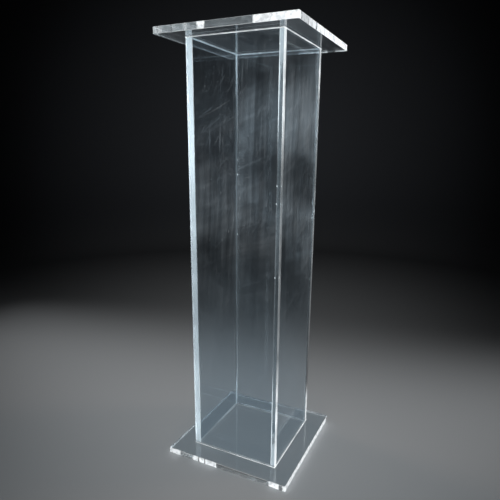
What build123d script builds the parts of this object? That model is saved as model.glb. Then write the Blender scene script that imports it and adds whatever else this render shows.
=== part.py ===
"""Clear acrylic pedestal lectern: a hollow square column of four cemented sheets between two square plates.

Millimetres, +Z up, origin at the centre of the base plate's underside. The front is at -Y and the right at +X.
"""

import os

from build123d import *

# Driving dimensions
column_width = 254.0  # outside width of the square column, 10 in
column_height = 1100.0  # from the base plate's top to the top plate's underside
wall = 12.7  # column sheet, 1/2 in
plate_side = 362.0  # both plates are cut to the same square
plate_thickness = 15.9  # plate sheet, 5/8 in
plate_corner_radius = 3.0  # upright corners of the plates, eased by hand
plate_arris = 1.0  # polished bevel round each plate's faces
column_arris = 0.6  # polished bevel on the column's four outside corners
film = 0.3  # cement line between two sheets
bead = 2.0  # cement squeezed out beside a line
bead_radius = 1.5 * bead  # hollow of the bead's face

# Worked out from them
panel_bottom = plate_thickness + film
panel_height = column_height - 2 * film
top_plate_bottom = plate_thickness + column_height
half_width = column_width / 2
inside_face = half_width - wall  # from the column's axis to a sheet's inside face
side_panel_width = 2 * (inside_face - film)  # the side sheets stand between the front and the back


def plate(name, bottom):
    """A square plate with eased corners and polished arrises, whose underside is at the given height."""
    with BuildPart() as sheet:
        with BuildSketch(Plane.XY.offset(bottom)):
            RectangleRounded(plate_side, plate_side, plate_corner_radius)
        extrude(amount=plate_thickness)
        rims = sheet.faces().filter_by(Axis.Z).edges()
        chamfer(rims, length=plate_arris)
    sheet.part.label = name
    return sheet.part


def cement_ring(name, level, outward):
    """The cement between a plate's face, at the given level, and the column's end, with its outside bead.

    outward is the way from the plate's face towards the column: 1 at the foot and -1 at the head.
    """
    face = Plane.XY.offset(level)
    with BuildPart() as ring:
        with BuildSketch(face):
            RectangleRounded(column_width + 2 * bead, column_width + 2 * bead, bead)
        extrude(amount=outward * bead, taper=45)
        with BuildSketch(face.offset(outward * film)):
            Rectangle(column_width, column_width)
        extrude(amount=outward * bead, mode=Mode.SUBTRACT)
        with BuildSketch(face):
            Rectangle(2 * inside_face, 2 * inside_face)
        extrude(amount=outward * film, mode=Mode.SUBTRACT)
    ring.part.label = name
    return ring.part


# The two plates
base_plate = plate("base_plate", 0.0)
top_plate = plate("top_plate", top_plate_bottom)

# The front and back sheets span the whole width, and their end edges show on the column's sides
with BuildPart() as front_panel:
    with BuildSketch(Plane.XY.offset(panel_bottom)):
        with Locations((0, -half_width)):
            Rectangle(column_width, wall, align=(Align.CENTER, Align.MIN))
    extrude(amount=panel_height)
    outside_corners = front_panel.faces().sort_by(Axis.Y)[0].edges().filter_by(Axis.Z)
    chamfer(outside_corners, length=column_arris)
front_panel.part.label = "front_panel"

with BuildPart() as back_panel:
    mirror(front_panel.part, about=Plane.XZ)
back_panel.part.label = "back_panel"

# The side sheets stand between them
with BuildPart() as right_panel:
    with BuildSketch(Plane.XY.offset(panel_bottom)):
        with Locations((half_width, 0)):
            Rectangle(wall, side_panel_width, align=(Align.MAX, Align.CENTER))
    extrude(amount=panel_height)
right_panel.part.label = "right_panel"

with BuildPart() as left_panel:
    mirror(right_panel.part, about=Plane.YZ)
left_panel.part.label = "left_panel"

# The upright cement lines: a film behind the front sheet, and a hollow-faced bead in the inside corner
with BuildPart() as front_right_seam:
    with BuildSketch(Plane.XY.offset(panel_bottom)):
        with BuildLine():
            outline = Polyline(
                (inside_face - bead, -inside_face),
                (half_width, -inside_face),
                (half_width, -inside_face + film),
                (inside_face, -inside_face + film),
                (inside_face, -inside_face + bead),
            )
            RadiusArc(outline @ 1, outline @ 0, bead_radius)
        make_face()
    extrude(amount=panel_height)
front_right_seam.part.label = "front_right_seam"

with BuildPart() as front_left_seam:
    mirror(front_right_seam.part, about=Plane.YZ)
front_left_seam.part.label = "front_left_seam"

with BuildPart() as back_right_seam:
    mirror(front_right_seam.part, about=Plane.XZ)
back_right_seam.part.label = "back_right_seam"

with BuildPart() as back_left_seam:
    mirror(front_left_seam.part, about=Plane.XZ)
back_left_seam.part.label = "back_left_seam"

# The level cement lines under and over the column
foot_seam = cement_ring("foot_seam", plate_thickness, 1)
head_seam = cement_ring("head_seam", top_plate_bottom, -1)

pieces = [
    base_plate,
    top_plate,
    front_panel.part,
    back_panel.part,
    left_panel.part,
    right_panel.part,
    front_left_seam.part,
    front_right_seam.part,
    back_left_seam.part,
    back_right_seam.part,
    foot_seam,
    head_seam,
]
os.makedirs("parts", exist_ok=True)
for piece in pieces:
    export_step(piece, f"parts/{piece.label}.step")
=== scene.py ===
"""Looks for the clear acrylic pedestal lectern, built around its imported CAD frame.

The six sheets are the CAD nodes themselves, with a procedural acrylic on them. The cement lines are built
here, because real cement wets both sheets: each line reaches a hair into the sheets beside it, so that light
crosses it as it crosses a bonded joint.

Haze, frost and milk are all the same measure: the share of light, from 0 to 1, that a place scatters white
instead of letting it through. Sizes and places are in metres, and noise scales in cells to the metre.
"""

import math

import bmesh
import bpy
from mathutils import Matrix, Vector, noise


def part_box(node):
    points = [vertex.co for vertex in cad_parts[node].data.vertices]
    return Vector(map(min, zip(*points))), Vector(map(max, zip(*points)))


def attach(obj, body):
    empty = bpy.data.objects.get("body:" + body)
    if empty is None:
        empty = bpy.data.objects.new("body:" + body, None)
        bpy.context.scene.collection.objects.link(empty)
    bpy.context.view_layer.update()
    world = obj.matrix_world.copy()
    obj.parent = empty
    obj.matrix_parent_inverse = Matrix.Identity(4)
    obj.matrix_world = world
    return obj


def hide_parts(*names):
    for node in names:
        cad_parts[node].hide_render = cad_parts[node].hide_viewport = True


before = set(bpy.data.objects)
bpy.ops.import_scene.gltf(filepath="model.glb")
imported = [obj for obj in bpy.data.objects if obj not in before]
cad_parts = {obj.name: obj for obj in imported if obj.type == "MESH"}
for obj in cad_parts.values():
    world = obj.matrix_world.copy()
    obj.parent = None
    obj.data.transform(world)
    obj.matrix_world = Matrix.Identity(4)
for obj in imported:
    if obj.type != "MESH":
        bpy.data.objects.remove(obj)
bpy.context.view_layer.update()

# Places, all read from the frame
base_low, base_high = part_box("base_plate")
top_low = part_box("top_plate")[0]
front_low, front_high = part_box("front_panel")
right_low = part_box("right_panel")[0]
seam_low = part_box("front_right_seam")[0]

HALF_PLATE = base_high.x
HALF_COLUMN = front_high.x
INSIDE_FACE = right_low.x
BEAD = INSIDE_FACE - seam_low.x
FILM = front_low.z - base_high.z
COLUMN_MIDDLE = (base_high.z + top_low.z) / 2
HALF_HEIGHT = (top_low.z - base_high.z) / 2

# Cement lines
WETTING = 0.00004  # how far a line reaches into each sheet
BEAD_STEP = 0.012  # length of one stretch of a bead
BEAD_FACETS = 6  # flat facets across a bead's face
BEAD_HOLLOW = 0.275  # share by which the middle of a bead's face is drawn in towards the corner
BEAD_VARIATION = 0.16  # share by which a hand-run bead swells and thins
BEAD_SWELLS = 23.0  # swells to the metre along a bead
BEAD_RIPPLES = 71.0  # ripples to the metre on the swells
RIPPLE_SHARE = 0.5  # size of the ripples against the swells
MILKY_ENDS = 0.3  # how far from the column's head and foot an upright bead is milky
INSIDE_MILK = 0.009  # how far the milk of a level line creeps under the column's walls from inside
CEMENT_ROUGHNESS = 0.05
CEMENT_RELIEF = 0.08  # strength of the cement's skin ripple
CEMENT_RIPPLE = 0.0003  # its height
BUBBLES = (2.5, 1.4, 5.0)  # bubbles to the metre along Z, and along X and Y their shift between corners
BUBBLE_FROST = 0.45
BUBBLE_CORE = 0.005  # a bubble's solid middle, as a share of the spacing along Z
BUBBLE_RIM = 0.011  # and where it has faded out

# Clear acrylic
ACRYLIC_IOR = 1.49
FACE_TINT = (0.88, 0.945, 0.99, 1.0)
EDGE_TINT = (0.955, 0.975, 0.98, 1.0)  # whiter, because what an edge scatters stays near the surface
LAMP_TINT = (0.93, 0.95, 0.96, 1.0)  # what one surface lets through of a lamp's light
FACE_NORMAL = 0.85  # a normal less square to the sheet than this is an arris or a cut edge
ARRIS_NORMAL = 0.4  # on a plate's rim, one squarer than this is an arris
LEVEL_NORMAL = 0.5  # on a column sheet's rim, one more upright than this is its head or foot

# Marks on the faces
HAIRLINE_HAZE = 0.05
SCRATCH_HAZE = 0.09
DUST_HAZE = 0.3
DUST_SCALE = 42.0  # specks to the metre
DUST_CORE = 0.022  # a speck's solid middle, as a share of that spacing
DUST_RIM = 0.038  # and where it has faded out
SMUDGE_ROUGHNESS = 0.03
HAIRLINE_ROUGHNESS = 0.1
HAIRLINE_RELIEF = 0.25  # strength of the hairlines' bump
HAIRLINE_DEPTH = 0.00005
SCRATCH_FADE = 0.05  # how much more noise than its threshold brings a scratch to full strength
THROUGH_SCALE = 90.0  # change through the sheet, so that its two faces aren't scratched alike
HAND_PATH_SCALE = 4.0  # bends to the metre in the path of a hand or cloth
HAND_PATH_REACH = 0.03  # how far the path strays
CLEAN_BELOW = 0.28  # the sheets are almost clean below this height
HANDLED_ABOVE = 0.8  # and fully handled above this one
CLEAN_SHARE = 0.06  # what is left of the marks at the bottom
WAVE_SCALE = 7.0  # long waves to the metre, left by casting
WAVE_HEIGHT = 0.004

# Cut edges
LEVEL_JOINT_FROST = 0.04  # the column sheets' heads and feet, which the cement wets
ARRIS_FROST = 0.38  # the plates' arrises are scraped, and left duller than their edges
FACET_RELIEF = 0.012  # strength of the saw's and file's marks
FACET_HEIGHT = 0.0006
PLATE_FACETS = (12.0, 12.0, 240.0)  # marks to the metre along X, Y and Z on a plate's edges
COLUMN_FACETS = (120.0, 120.0, 9.0)  # and on a column sheet's
SIDE_DEPTH = 0.004  # a place less than this inside a plate's outline belongs to the edge there
STRETCH_FADE = 0.003  # over how far the end of a white stretch fades
RAGGEDNESS = 0.007  # how far the ends of a white stretch wander, from one extreme to the other
# White stretches along the plates' edges: partly real frost on the cut edges, partly painted reflections of
# lamps seen inside the edges. Each has its start and end, from the side's middle, and its frost.
TOP_STRETCHES = {
    "front": [(-0.178, -0.155, 0.25), (-0.094, -0.088, 0.35), (-0.058, -0.042, 1.0), (0.080, 0.181, 0.95)],
    "right": [(-0.181, -0.172, 0.9), (-0.165, -0.128, 0.5), (-0.122, -0.08, 0.75), (-0.07, 0.181, 1.0)],
    "back": [(-0.181, -0.055, 0.14), (-0.05, 0.03, 0.22), (0.035, 0.125, 1.0), (0.15, 0.181, 1.0)],
    "left": [(-0.18, -0.155, 0.3), (-0.145, -0.06, 0.15), (-0.05, 0.181, 0.2)],
}
BASE_STRETCHES = {
    "front": [(-0.181, -0.145, 0.9), (-0.1, -0.085, 1.0), (-0.078, -0.066, 1.0), (-0.06, -0.026, 0.9),
              (0.136, 0.162, 0.95), (0.174, 0.181, 0.9)],
    "right": [(-0.181, 0.165, 0.8)],
    "back": [(-0.02, 0.0, 0.4), (0.1, 0.14, 0.3)],
    "left": [(-0.181, -0.17, 0.7), (-0.12, -0.09, 0.25)],
}

# Studio
FLOOR_REACH = 2.6  # from the middle to where the floor starts to curve up
BEND_RADIUS = 1.6
WALL_TOP = 12.0
BEND_STEPS = 16
TURN_STEPS = 96
FLOOR_GAP = 0.0006  # how far the floor lies below the base plate
MERGE_DISTANCE = 0.0001
# Painted light on the floor: a pale painted pool of light round the object, darkening to painted shade
# towards the wall
PAINTED_LIGHT_POOL_COLOUR = (0.42, 0.425, 0.43, 1.0)
PAINTED_FALLOFF_SHADE_COLOUR = (0.045, 0.047, 0.052, 1.0)
PAINTED_LIGHT_POOL_REACH = 0.5  # the paint is pale this far from the middle
PAINTED_SHADE_REACH = 3.6  # and darkest from here on
ROOM_COLOUR = (0.012, 0.013, 0.015, 1.0)
LAMP_COLOUR = (0.955, 0.98, 1.0)

# Camera
CAMERA_PLACE = Vector((0.5425, -1.118, 0.8705))
CAMERA_AZIMUTH = math.radians(25.32)
CAMERA_ELEVATION = math.radians(14.24)
CAMERA_ROLL = math.radians(0.69)
CAMERA_LENS = 32.99  # millimetres
CAMERA_SENSOR = 36.0  # millimetres
CAMERA_SHIFT = (-0.0184, 0.0219)


# Node helpers
def new_material(name):
    """An empty node material with its output node, and the tree they are in."""
    material = bpy.data.materials.new(name)
    material.use_nodes = True
    tree = material.node_tree
    tree.nodes.clear()
    output = tree.nodes.new("ShaderNodeOutputMaterial")
    return material, tree, output


def add(tree, kind, settings=None, **inputs):
    """A node of that kind, with its settings, and its inputs given as values or as sockets to link.

    An input is named after its socket, or i and the socket's number where sockets share a name.
    """
    made = tree.nodes.new("ShaderNode" + kind)
    for name, value in (settings or {}).items():
        setattr(made, name, value)
    for name, value in inputs.items():
        is_index = name[0] == "i" and name[1:].isdigit()
        socket = made.inputs[int(name[1:]) if is_index else name.replace("_", " ")]
        if isinstance(value, bpy.types.NodeSocket):
            tree.links.new(value, socket)
        else:
            socket.default_value = value
    return made


def calc(tree, operation, a, b=0.0, clamp=False):
    """The result of one Math node."""
    return add(tree, "Math", {"operation": operation, "use_clamp": clamp}, i0=a, i1=b).outputs[0]


def ramp(tree, value, low, high, out_low=0.0, out_high=1.0):
    """value mapped smoothly from low..high to out_low..out_high."""
    settings = {"interpolation_type": "SMOOTHSTEP"}
    node = add(
        tree, "MapRange", settings, Value=value, From_Min=low, From_Max=high, To_Min=out_low, To_Max=out_high
    )
    return node.outputs[0]


def blend_values(tree, share, a, b):
    """a where share is 0 and b where it is 1."""
    return add(tree, "Mix", {"data_type": "FLOAT"}, Factor=share, A=a, B=b).outputs[0]


def blend_colours(tree, share, a, b):
    """The colour a where share is 0 and b where it is 1."""
    return add(tree, "Mix", {"data_type": "RGBA"}, i0=share, i6=a, i7=b).outputs[2]


def strongest(tree, layers):
    """The highest of the layers at each place."""
    total = layers[0]
    for layer in layers[1:]:
        total = calc(tree, "MAXIMUM", total, layer)
    return total


def total_of(tree, layers):
    """The sum of the layers at each place."""
    total = layers[0]
    for layer in layers[1:]:
        total = calc(tree, "ADD", total, layer)
    return total


def part_of(tree, vector, axis):
    """One coordinate of a vector."""
    return add(tree, "SeparateXYZ", Vector=vector).outputs[axis]


def off_middle(tree, place, axis):
    """How far a place is, along that axis, from the column's own axis."""
    return calc(tree, "ABSOLUTE", part_of(tree, place, axis))


def stretched(tree, place, scale):
    """Coordinates scaled along their axes."""
    return add(tree, "Mapping", {"vector_type": "POINT"}, Vector=place, Scale=scale).outputs[0]


def turned(tree, place, angle, scale):
    """Coordinates turned by an angle about their third axis, and then scaled along the new ones."""
    spin = add(tree, "Mapping", {"vector_type": "POINT"}, Vector=place, Rotation=(0.0, 0.0, angle))
    return stretched(tree, spin.outputs[0], scale)


def noise_at(tree, place, scale, detail, roughness=0.5):
    """A noise value at those coordinates."""
    node = add(tree, "TexNoise", Vector=place, Scale=scale, Detail=detail, Roughness=roughness)
    return node.outputs["Fac"]


def patches(tree, place, scale, detail, low, high, least=0.0, most=1.0):
    """Soft patches: least where the noise is under low, and most where it is over high."""
    return ramp(tree, noise_at(tree, place, scale, detail), low, high, least, most)


def wander(tree, place, scale, detail, width):
    """Noise about zero, the given width from one extreme to the other."""
    about_zero = calc(tree, "SUBTRACT", noise_at(tree, place, scale, detail), 0.5)
    return calc(tree, "MULTIPLY", about_zero, width)


# Marks on the faces
def sheet_coordinates(tree, place, thickness_axis):
    """Coordinates along the sheet, up or across it, and through it, slightly warped as a hand's path is."""
    parts = add(tree, "SeparateXYZ", Vector=place).outputs
    along, up, through = {"X": "YZX", "Y": "XZY", "Z": "XYZ"}[thickness_axis]
    sheet = add(tree, "CombineXYZ", X=parts[along], Y=parts[up], Z=parts[through]).outputs[0]
    warp = add(tree, "TexNoise", Vector=sheet, Scale=HAND_PATH_SCALE, Detail=1.0).outputs["Color"]
    shift = add(tree, "VectorMath", {"operation": "SCALE"}, i0=warp, Scale=HAND_PATH_REACH).outputs[0]
    return add(tree, "VectorMath", {"operation": "ADD"}, i0=sheet, i1=shift).outputs[0]


def scratch_layer(tree, sheet, angle, fineness, length, threshold):
    """Hairlines: noise drawn out along one direction of the sheet, of which only the crests show."""
    along = turned(tree, sheet, angle, (fineness, 1.0 / length, THROUGH_SCALE))
    return patches(tree, along, scale=1.0, detail=1.0, low=threshold, high=threshold + SCRATCH_FADE)


def fine_scratches(tree, sheet):
    """Hairlines from handling and cloths, seen close to, in patches."""
    layers = [
        scratch_layer(tree, sheet, angle=0.55, fineness=420.0, length=0.06, threshold=0.69),
        scratch_layer(tree, sheet, angle=-0.9, fineness=520.0, length=0.04, threshold=0.70),
        scratch_layer(tree, sheet, angle=0.04, fineness=300.0, length=0.16, threshold=0.68),
        scratch_layer(tree, sheet, angle=1.3, fineness=460.0, length=0.05, threshold=0.70),
    ]
    worn = patches(tree, sheet, scale=9.0, detail=3.0, low=0.42, high=0.62)
    return calc(tree, "MULTIPLY", strongest(tree, layers), worn)


def long_scratches(tree, sheet):
    """A few long, broad scratches, seen from across the room."""
    layers = [
        scratch_layer(tree, sheet, angle=1.17, fineness=230.0, length=0.5, threshold=0.74),
        scratch_layer(tree, sheet, angle=-1.0, fineness=260.0, length=0.3, threshold=0.78),
        scratch_layer(tree, sheet, angle=0.02, fineness=240.0, length=0.7, threshold=0.75),
    ]
    worn = patches(tree, sheet, scale=3.5, detail=1.0, low=0.42, high=0.62, least=0.2)
    return calc(tree, "MULTIPLY", strongest(tree, layers), worn)


def veil(tree, sheet):
    """The faint bloom that years of wiping leave on the faces, in streaks and clouds."""
    clouds = patches(tree, sheet, scale=5.0, detail=3.0, low=0.38, high=0.66, least=0.15)
    upright = turned(tree, sheet, angle=0.03, scale=(70.0, 1.6, 60.0))
    slanting = turned(tree, sheet, angle=1.2, scale=(60.0, 3.0, 60.0))
    streaks = patches(tree, upright, scale=1.0, detail=3.0, low=0.38, high=0.66, least=0.35)
    swipes = patches(tree, slanting, scale=1.0, detail=3.0, low=0.5, high=0.72, least=0.55)
    return calc(tree, "MULTIPLY", clouds, calc(tree, "MULTIPLY", streaks, swipes))


def dust(tree, place):
    """Pinpoint specks, a few to a hand's breadth."""
    cells = add(tree, "TexVoronoi", {"feature": "F1"}, Vector=place, Scale=DUST_SCALE)
    return ramp(tree, cells.outputs["Distance"], DUST_CORE, DUST_RIM, 1.0, 0.0)


def hand_reach(tree, place):
    """1 where hands and cloths reach, falling towards the floor, where the sheets stay almost clean."""
    return ramp(tree, part_of(tree, place, "Z"), CLEAN_BELOW, HANDLED_ABOVE, CLEAN_SHARE, 1.0)


def face_haze(tree, place, sheet, hairlines, veil_haze):
    """Haze of a face: the veil, hairlines and long scratches where hands reach, and dust everywhere."""
    marks = [
        calc(tree, "MULTIPLY", veil(tree, sheet), veil_haze),
        calc(tree, "MULTIPLY", hairlines, HAIRLINE_HAZE),
        calc(tree, "MULTIPLY", long_scratches(tree, sheet), SCRATCH_HAZE),
    ]
    handled = calc(tree, "MULTIPLY", total_of(tree, marks), hand_reach(tree, place))
    return calc(tree, "MAXIMUM", handled, calc(tree, "MULTIPLY", dust(tree, place), DUST_HAZE))


def face_roughness(tree, place, hairlines):
    """Roughness of a face: polished, apart from smudges and hairlines."""
    smudges = ramp(tree, noise_at(tree, place, scale=6.0, detail=5.0, roughness=0.6), low=0.5, high=0.8)
    smeared = calc(tree, "MULTIPLY", smudges, SMUDGE_ROUGHNESS)
    return calc(tree, "ADD", smeared, calc(tree, "MULTIPLY", hairlines, HAIRLINE_ROUGHNESS))


# Frost of the cut edges
def near_ends(tree, place, reach, drop=0.0):
    """1 at the column's head and foot, fading to 0 within reach of them, along an uneven front.

    drop moves the whole pattern down, so that it reaches further from the head and less far from the foot.
    """
    height = part_of(tree, place, "Z")
    from_middle = calc(tree, "ABSOLUTE", calc(tree, "SUBTRACT", height, COLUMN_MIDDLE - drop))
    along = stretched(tree, place, scale=(3.0, 3.0, 9.0))
    front = calc(tree, "ADD", from_middle, wander(tree, along, scale=1.0, detail=3.0, width=0.6 * reach))
    full_strength = HALF_HEIGHT - 0.3 * reach
    return ramp(tree, front, HALF_HEIGHT - reach, full_strength)


def joint_frost(front_middle, front_ends, back, reach, drop=0.0):
    """How milky a side sheet's cemented ends are: in front between and at the column's ends, and behind."""

    def frost(tree, place):
        is_front = calc(tree, "LESS_THAN", part_of(tree, place, "Y"), 0.0)
        front = blend_values(tree, near_ends(tree, place, reach, drop), front_middle, front_ends)
        mottle = patches(tree, place, scale=11.0, detail=4.0, low=0.35, high=0.62, least=0.7)
        return calc(tree, "MULTIPLY", blend_values(tree, is_front, back, front), mottle)

    return frost


def bare_end_frost(middle, ends, reach):
    """How milky a covering sheet's bare end edges are: between, and at the column's ends."""

    def frost(tree, place):
        share = near_ends(tree, place, reach)
        along = stretched(tree, place, scale=(9.0, 9.0, 14.0))
        mottle = patches(tree, along, scale=1.0, detail=3.0, low=0.35, high=0.65, least=0.45)
        return calc(tree, "MULTIPLY", blend_values(tree, share, middle, ends), mottle)

    return frost


def side_stretches(tree, coordinate, clear, stretches):
    """Frost along one side of a plate: clear, apart from the given white stretches."""
    reach = HALF_PLATE + STRETCH_FADE
    share = add(tree, "MapRange", Value=coordinate, From_Min=-reach, From_Max=reach).outputs[0]
    node = add(tree, "ValToRGB", Fac=share)
    stops = node.color_ramp.elements
    for stop in stops:
        stop.color = (clear, clear, clear, 1.0)
    for start, end, frost in stretches:
        before = (start - STRETCH_FADE, clear)
        after = (end + STRETCH_FADE, clear)
        for where, value in (before, (start, frost), (end, frost), after):
            position = (where + reach) / (2 * reach)
            stops.new(max(0.0, min(1.0, position))).color = (value, value, value, 1.0)
    return node.outputs["Color"]


def cut_edge_frost(clear, stretches):
    """How milky a plate's bare cut edges are, side by side, with white stretches that are partly painted
    reflections, and the small breaks that a file leaves.
    """

    def frost(tree, place):
        x = part_of(tree, place, "X")
        y = part_of(tree, place, "Y")
        ragged = wander(tree, place, scale=95.0, detail=2.0, width=RAGGEDNESS)
        along_x = calc(tree, "ADD", x, ragged)
        along_y = calc(tree, "ADD", y, ragged)
        near_side = HALF_PLATE - SIDE_DEPTH
        sides = [
            ("back", along_x, calc(tree, "GREATER_THAN", y, near_side)),
            ("right", along_y, calc(tree, "GREATER_THAN", x, near_side)),
            ("front", along_x, calc(tree, "LESS_THAN", y, -near_side)),
        ]
        total = side_stretches(tree, along_y, clear, stretches["left"])
        for side, coordinate, is_side in sides:
            of_side = side_stretches(tree, coordinate, clear, stretches[side])
            total = blend_values(tree, is_side, total, of_side)
        # Painted glints: small patches of white frost that stand in for glints of lamp light on the edges
        painted_glints = patches(tree, place, scale=60.0, detail=1.0, low=0.6, high=0.8, most=0.2)
        breaks = patches(tree, place, scale=90.0, detail=3.0, low=0.34, high=0.56, least=0.65)
        return calc(tree, "MULTIPLY", calc(tree, "ADD", total, painted_glints, clamp=True), breaks)

    return frost


def rim_frost(tree, place, normal, thickness_axis, edge_frost):
    """Frost all round a sheet: on its cut edges, a plate's arrises, and a column sheet's head and foot."""
    frost = edge_frost(tree, place)
    upward = calc(tree, "ABSOLUTE", part_of(tree, normal, "Z"))
    if thickness_axis == "Z":
        is_arris = calc(tree, "GREATER_THAN", upward, ARRIS_NORMAL)
        return calc(tree, "MAXIMUM", frost, calc(tree, "MULTIPLY", is_arris, ARRIS_FROST))
    is_level = calc(tree, "GREATER_THAN", upward, LEVEL_NORMAL)
    return blend_values(tree, is_level, frost, LEVEL_JOINT_FROST)


# Acrylic and cement
def connect_clear(tree, output, tint, roughness, scatter, normal):
    """Link to the output a clear plastic that scatters a share of its light white.

    Lamps' rays meet a plain clear stand-in instead, so that lamps light what is behind the plastic.
    """
    body = add(
        tree,
        "BsdfPrincipled",
        Base_Color=tint,
        Roughness=roughness,
        IOR=ACRYLIC_IOR,
        Transmission_Weight=calc(tree, "SUBTRACT", 1.0, scatter),
        Normal=normal,
    )
    clear = add(tree, "BsdfTransparent", Color=LAMP_TINT)
    is_shadow = add(tree, "LightPath").outputs["Is Shadow Ray"]
    lit = add(tree, "MixShader", i0=is_shadow, i1=body.outputs[0], i2=clear.outputs[0])
    tree.links.new(lit.outputs[0], output.inputs["Surface"])


def sheet_relief(tree, place, hairlines, is_edge, thickness_axis, waviness):
    """A sheet's bumps: long waves from casting, hairlines, and the saw's and file's marks on its edges."""
    waves = noise_at(tree, place, WAVE_SCALE, detail=1.0)
    waved = add(tree, "Bump", Strength=waviness, Distance=WAVE_HEIGHT, Height=waves).outputs[0]
    scratched = add(
        tree, "Bump", Strength=HAIRLINE_RELIEF, Distance=HAIRLINE_DEPTH, Height=hairlines, Normal=waved
    ).outputs[0]
    facet_scale = PLATE_FACETS if thickness_axis == "Z" else COLUMN_FACETS
    facets = noise_at(tree, stretched(tree, place, facet_scale), scale=1.0, detail=1.0)
    strength = calc(tree, "MULTIPLY", is_edge, FACET_RELIEF)
    return add(
        tree, "Bump", Strength=strength, Distance=FACET_HEIGHT, Height=facets, Normal=scratched
    ).outputs[0]


def acrylic(name, thickness_axis, veil_haze, edge_frost, edge_roughness, waviness):
    """Clear cast acrylic sheet with polished faces and cut edges.

    thickness_axis is the axis across the sheet. Faces whose normals lie along it are the clear ones, and
    the rest are arrises and cut edges. edge_frost gives the cut edges' frost, from the tree and a place.
    """
    material, tree, output = new_material(name)
    place = add(tree, "TexCoord").outputs["Object"]
    normal = add(tree, "NewGeometry").outputs["True Normal"]
    across = calc(tree, "ABSOLUTE", part_of(tree, normal, thickness_axis))
    is_edge = calc(tree, "LESS_THAN", across, FACE_NORMAL)

    sheet = sheet_coordinates(tree, place, thickness_axis)
    hairlines = fine_scratches(tree, sheet)
    haze = face_haze(tree, place, sheet, hairlines, veil_haze)
    frost = rim_frost(tree, place, normal, thickness_axis, edge_frost)
    tint = blend_colours(tree, is_edge, FACE_TINT, EDGE_TINT)
    roughness = blend_values(tree, is_edge, face_roughness(tree, place, hairlines), edge_roughness)
    scatter = blend_values(tree, is_edge, haze, frost)
    relief = sheet_relief(tree, place, hairlines, is_edge, thickness_axis, waviness)
    connect_clear(tree, output, tint, roughness, scatter, relief)
    return material


def bubbles(tree, place):
    """Air caught in the beads: a bubble every 200 mm or so, at a different height in each corner."""
    length = add(tree, "VectorMath", {"operation": "DOT_PRODUCT"}, i0=place, i1=BUBBLES).outputs["Value"]
    cells = add(tree, "TexVoronoi", {"voronoi_dimensions": "1D", "feature": "F1"}, W=length, Scale=1.0)
    return ramp(tree, cells.outputs["Distance"], BUBBLE_CORE, BUBBLE_RIM, BUBBLE_FROST, 0.0)


def inside_bead(tree, place):
    """The bead of an upright line stands in the column's inside corner."""
    return calc(tree, "LESS_THAN", off_middle(tree, place, "X"), INSIDE_FACE)


def outside_bead(tree, place):
    """The bead of a level line runs round the outside of the column, and milk creeps under its inside."""
    reach = calc(tree, "MAXIMUM", off_middle(tree, place, "X"), off_middle(tree, place, "Y"))
    outside = calc(tree, "GREATER_THAN", reach, HALF_COLUMN)
    inside = ramp(tree, reach, INSIDE_FACE, INSIDE_FACE + INSIDE_MILK, 1.0, 0.0)
    return calc(tree, "MAXIMUM", outside, inside)


def cement(name, is_bead, film, bead_middle, bead_ends):
    """Solvent cement: a film that is nearly as clear as the sheets, and a bead with milk in it.

    is_bead gives, from the tree and a place, 1 on the bead and 0 on the film. film is the film's frost, and
    bead_middle and bead_ends are the bead's, between the column's ends and at them.
    """
    material, tree, output = new_material(name)
    place = add(tree, "TexCoord").outputs["Object"]
    along = stretched(tree, place, scale=(9.0, 9.0, 3.5))
    mottle = patches(tree, along, scale=1.0, detail=3.0, low=0.35, high=0.65, least=0.4)
    milk = blend_values(tree, near_ends(tree, place, MILKY_ENDS), bead_middle, bead_ends)
    bead = calc(tree, "ADD", calc(tree, "MULTIPLY", milk, mottle), bubbles(tree, place), clamp=True)
    frost = blend_values(tree, is_bead(tree, place), film, bead)
    ripple = noise_at(tree, place, scale=260.0, detail=2.0)
    relief = add(tree, "Bump", Strength=CEMENT_RELIEF, Distance=CEMENT_RIPPLE, Height=ripple)
    connect_clear(tree, output, EDGE_TINT, CEMENT_ROUGHNESS, frost, relief.outputs[0])
    return material


def set_material(piece, material):
    """The piece's only material is this one."""
    piece.data.materials.clear()
    piece.data.materials.append(material)


# Cement lines
def bead_size(place):
    """The bead's leg at a place along its line, uneven as a hand leaves it, and at most the CAD bead's."""
    swell = noise.noise(place * BEAD_SWELLS) + RIPPLE_SHARE * noise.noise(place * BEAD_RIPPLES)
    return BEAD * (1.0 - BEAD_VARIATION + BEAD_VARIATION * max(-1.0, min(1.0, swell)))


def hollow_arc(start, end, corner):
    """Points from start to end, bowed towards corner, as a bead's face is."""
    points = []
    for step in range(BEAD_FACETS + 1):
        t = step / BEAD_FACETS
        straight = start.lerp(end, t)
        bow = 4 * t * (1 - t)  # 0 at both ends and 1 in the middle
        points.append(straight.lerp(corner, BEAD_HOLLOW * bow))
    return points


def skin(name, sections, closed):
    """A mesh piece from sections of the same number of points, with end caps unless it closes on itself."""
    mesh = bmesh.new()
    rings = [[mesh.verts.new(point) for point in section] for section in sections]
    following_rings = rings[1:] + rings[:1] if closed else rings[1:]
    for ring, following in zip(rings, following_rings):
        for i in range(len(ring)):
            j = (i + 1) % len(ring)
            mesh.faces.new((ring[i], ring[j], following[j], following[i]))
    if not closed:
        mesh.faces.new(rings[0])
        mesh.faces.new(rings[-1])
    bmesh.ops.recalc_face_normals(mesh, faces=mesh.faces)
    data = bpy.data.meshes.new(name)
    mesh.to_mesh(data)
    mesh.free()
    piece = bpy.data.objects.new(name, data)
    bpy.context.scene.collection.objects.link(piece)
    return piece


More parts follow.
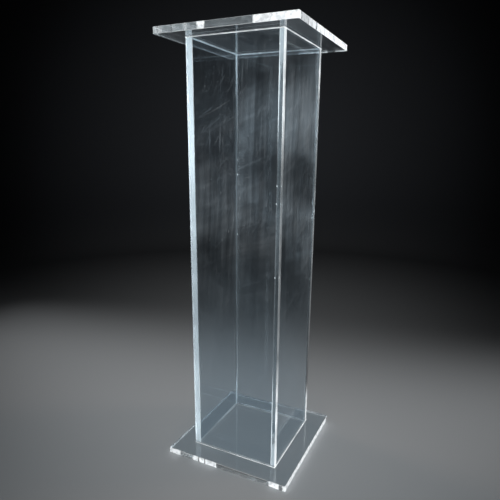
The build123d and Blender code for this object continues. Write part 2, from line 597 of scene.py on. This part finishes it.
def upright_seam(node, side_x, side_y):
    """The cement behind a full-width sheet and in the inside corner, on the given side of each axis."""
    bottom = front_low.z
    height = front_high.z - bottom
    steps = round(height / BEAD_STEP)
    sections = []
    for step in range(steps + 1):
        z = bottom + height * step / steps
        leg = bead_size(Vector((side_x, side_y, z)))
        outline = [
            Vector((HALF_COLUMN - WETTING, INSIDE_FACE + WETTING)),
            Vector((HALF_COLUMN - WETTING, INSIDE_FACE - FILM - WETTING)),
            Vector((INSIDE_FACE + WETTING, INSIDE_FACE - FILM - WETTING)),
        ]
        outline += hollow_arc(
            Vector((INSIDE_FACE + WETTING, INSIDE_FACE - leg)),
            Vector((INSIDE_FACE - leg, INSIDE_FACE + WETTING)),
            Vector((INSIDE_FACE, INSIDE_FACE)),
        )
        sections.append([Vector((side_x * p.x, side_y * p.y, z)) for p in outline])
    return skin(node + "_cement", sections, closed=False)


def level_ring(node, face, outward):
    """The cement between a plate's face and the column's end, and its bead round the outside.

    face is the face's height, and outward is 1 where the column stands over it and -1 where it hangs below.
    """
    corners = [Vector((1, -1, 0)), Vector((1, 1, 0)), Vector((-1, 1, 0)), Vector((-1, -1, 0))]
    steps = round(2 * HALF_COLUMN / BEAD_STEP)
    sections = []
    for corner, following in zip(corners, corners[1:] + corners[:1]):
        for step in range(steps):
            place = corner.lerp(following, step / steps)
            leg = bead_size(place * HALF_COLUMN + Vector((0, 0, face)))
            outline = [
                Vector((INSIDE_FACE + WETTING, -WETTING)),
                Vector((INSIDE_FACE + WETTING, FILM + WETTING)),
                Vector((HALF_COLUMN - WETTING, FILM + WETTING)),
            ]
            outline += hollow_arc(
                Vector((HALF_COLUMN - WETTING, leg)),
                Vector((HALF_COLUMN + leg, -WETTING)),
                Vector((HALF_COLUMN, 0.0)),
            )
            sections.append([place * p.x + Vector((0, 0, face + outward * p.y)) for p in outline])
    return skin(node + "_cement", sections, closed=True)


# Floor, light and camera
def sweep_paint_with_painted_light():
    """A matte paint with painted light: pale round the object as a painted pool of light, and darker towards
    the wall as painted shade.
    """
    material, tree, output = new_material("sweep_paint_with_painted_light")
    place = add(tree, "TexCoord").outputs["Object"]
    level = add(tree, "Mapping", Vector=place, Scale=(1.0, 1.0, 0.0)).outputs[0]
    distance = add(tree, "VectorMath", {"operation": "LENGTH"}, i0=level).outputs["Value"]
    # painted pool of light round the object, fading to painted shade towards the wall
    colour = blend_colours(tree, ramp(tree, distance, PAINTED_LIGHT_POOL_REACH, PAINTED_SHADE_REACH), PAINTED_LIGHT_POOL_COLOUR, PAINTED_FALLOFF_SHADE_COLOUR)
    body = add(tree, "BsdfPrincipled", Base_Color=colour, Roughness=0.8)
    tree.links.new(body.outputs[0], output.inputs["Surface"])
    return material


def studio_sweep():
    """A floor that curves up into a round wall, a hair below the base plate, painted with a pale pool of
    light round the object and painted shade towards the wall.
    """
    profile = [(0.0, 0.0), (FLOOR_REACH, 0.0)]
    for step in range(1, BEND_STEPS + 1):
        angle = math.pi / 2 * step / BEND_STEPS
        profile.append((FLOOR_REACH + BEND_RADIUS * math.sin(angle), BEND_RADIUS * (1 - math.cos(angle))))
    profile.append((FLOOR_REACH + BEND_RADIUS, WALL_TOP))
    mesh = bmesh.new()
    level = base_low.z - FLOOR_GAP
    line = [mesh.verts.new((x, 0.0, level + z)) for x, z in profile]
    edges = [mesh.edges.new(pair) for pair in zip(line, line[1:])]
    bmesh.ops.spin(
        mesh, geom=line + edges, axis=(0, 0, 1), cent=(0, 0, 0), steps=TURN_STEPS, angle=2 * math.pi
    )
    bmesh.ops.remove_doubles(mesh, verts=mesh.verts, dist=MERGE_DISTANCE)
    bmesh.ops.recalc_face_normals(mesh, faces=mesh.faces)
    data = bpy.data.meshes.new("studio_sweep")
    mesh.to_mesh(data)
    mesh.free()
    data.shade_smooth()
    sweep = bpy.data.objects.new("studio_sweep", data)
    bpy.context.scene.collection.objects.link(sweep)
    set_material(sweep, sweep_paint_with_painted_light())


def soft_light(name, place, target, size, power, spread):
    """A rectangular softbox at place, facing target, with its spread in degrees.

    It is hidden from reflection and refraction. The acrylic's stand-in for lamps' rays already lets its
    light through, and light that also found it in those ways would count twice.
    """
    light = bpy.data.lights.new(name, "AREA")
    light.shape = "RECTANGLE"
    light.size, light.size_y = size
    light.energy = power
    light.spread = math.radians(spread)
    light.color = LAMP_COLOUR
    lamp = bpy.data.objects.new(name, light)
    lamp.location = place
    lamp.rotation_euler = (Vector(target) - Vector(place)).to_track_quat("-Z", "Y").to_euler()
    lamp.visible_camera = False
    lamp.visible_transmission = False
    lamp.visible_glossy = False
    bpy.context.scene.collection.objects.link(lamp)


def studio_world():
    """A dim room, so that clear sheet reads against it by its edges and reflections."""
    world = bpy.data.worlds.new("studio_world")
    world.use_nodes = True
    world.node_tree.nodes["Background"].inputs["Color"].default_value = ROOM_COLOUR
    bpy.context.scene.world = world


def studio_camera():
    """The camera, at the reference view."""
    data = bpy.data.cameras.new("camera")
    data.sensor_width = CAMERA_SENSOR
    data.lens = CAMERA_LENS
    data.shift_x, data.shift_y = CAMERA_SHIFT
    camera = bpy.data.objects.new("camera", data)
    camera.matrix_world = (
        Matrix.Translation(CAMERA_PLACE)
        @ Matrix.Rotation(CAMERA_AZIMUTH, 4, "Z")
        @ Matrix.Rotation(math.pi / 2 - CAMERA_ELEVATION, 4, "X")
        @ Matrix.Rotation(CAMERA_ROLL, 4, "Z")
    )
    bpy.context.scene.collection.objects.link(camera)
    bpy.context.scene.camera = camera


def light_paths():
    """Enough bounces for light to cross every sheet, and no caustics, which add noise and no detail."""
    cycles = bpy.context.scene.cycles
    cycles.max_bounces = 32
    cycles.transmission_bounces = 28
    cycles.glossy_bounces = 12
    cycles.transparent_max_bounces = 32
    cycles.caustics_reflective = False
    cycles.caustics_refractive = False
    cycles.use_denoising = True


# The sheets
sheets = {
    "left_panel": acrylic(
        "acrylic_left",
        "X",
        veil_haze=0.02,
        edge_frost=joint_frost(front_middle=0.48, front_ends=0.97, back=0.005, reach=0.42, drop=0.1),
        edge_roughness=0.35,
        waviness=0.004,
    ),
    "right_panel": acrylic(
        "acrylic_right",
        "X",
        veil_haze=0.07,
        edge_frost=joint_frost(front_middle=0.0, front_ends=0.5, back=0.0, reach=0.11),
        edge_roughness=0.02,
        waviness=0.004,
    ),
    "front_panel": acrylic(
        "acrylic_front",
        "Y",
        veil_haze=0.05,
        edge_frost=bare_end_frost(middle=0.1, ends=0.82, reach=0.33),
        edge_roughness=0.08,
        waviness=0.004,
    ),
    "back_panel": acrylic(
        "acrylic_back",
        "Y",
        veil_haze=0.12,
        edge_frost=bare_end_frost(middle=0.08, ends=0.75, reach=0.15),
        edge_roughness=0.08,
        waviness=0.004,
    ),
    "base_plate": acrylic(
        "acrylic_base",
        "Z",
        veil_haze=0.05,
        edge_frost=cut_edge_frost(clear=0.08, stretches=BASE_STRETCHES),
        edge_roughness=0.12,
        waviness=0.0,
    ),
    "top_plate": acrylic(
        "acrylic_top",
        "Z",
        veil_haze=0.16,
        edge_frost=cut_edge_frost(clear=0.01, stretches=TOP_STRETCHES),
        edge_roughness=0.12,
        waviness=0.0005,
    ),
}
for node_name, sheet_material in sheets.items():
    set_material(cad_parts[node_name], sheet_material)

# The cement
front_cement = cement("cement_front", inside_bead, film=0.0, bead_middle=0.05, bead_ends=0.8)
back_cement = cement("cement_back", inside_bead, film=0.0, bead_middle=0.01, bead_ends=0.12)
level_cement = cement("cement_level", outside_bead, film=0.05, bead_middle=0.95, bead_ends=0.95)

seams = {
    "front_left_seam": (upright_seam("front_left_seam", -1, -1), front_cement),
    "front_right_seam": (upright_seam("front_right_seam", 1, -1), front_cement),
    "back_left_seam": (upright_seam("back_left_seam", -1, 1), back_cement),
    "back_right_seam": (upright_seam("back_right_seam", 1, 1), back_cement),
    "foot_seam": (level_ring("foot_seam", base_high.z, 1), level_cement),
    "head_seam": (level_ring("head_seam", top_low.z, -1), level_cement),
}
for node_name, (piece, seam_material) in seams.items():
    set_material(piece, seam_material)
    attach(piece, "root")
    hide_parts(node_name)

# The studio
studio_sweep()
studio_world()
studio_camera()
soft_light("softbox_over", (0.1, -0.1, 2.6), (0, 0, 0), size=(1.0, 1.0), power=0.9, spread=140.0)
soft_light("softbox_left", (-2.2, 0.3, 0.7), (0, 0, 0.6), size=(0.6, 1.0), power=8.4, spread=50.0)
soft_light("softbox_right", (1.9, 1.2, 0.6), (0, 0, 0.6), size=(0.6, 1.0), power=9.0, spread=50.0)
soft_light("softbox_front", (1.2, -2.5, 0.6), (0, 0, 0.6), size=(0.6, 1.0), power=10.0, spread=45.0)
light_paths()
bpy.context.scene.view_settings.view_transform = "Standard"
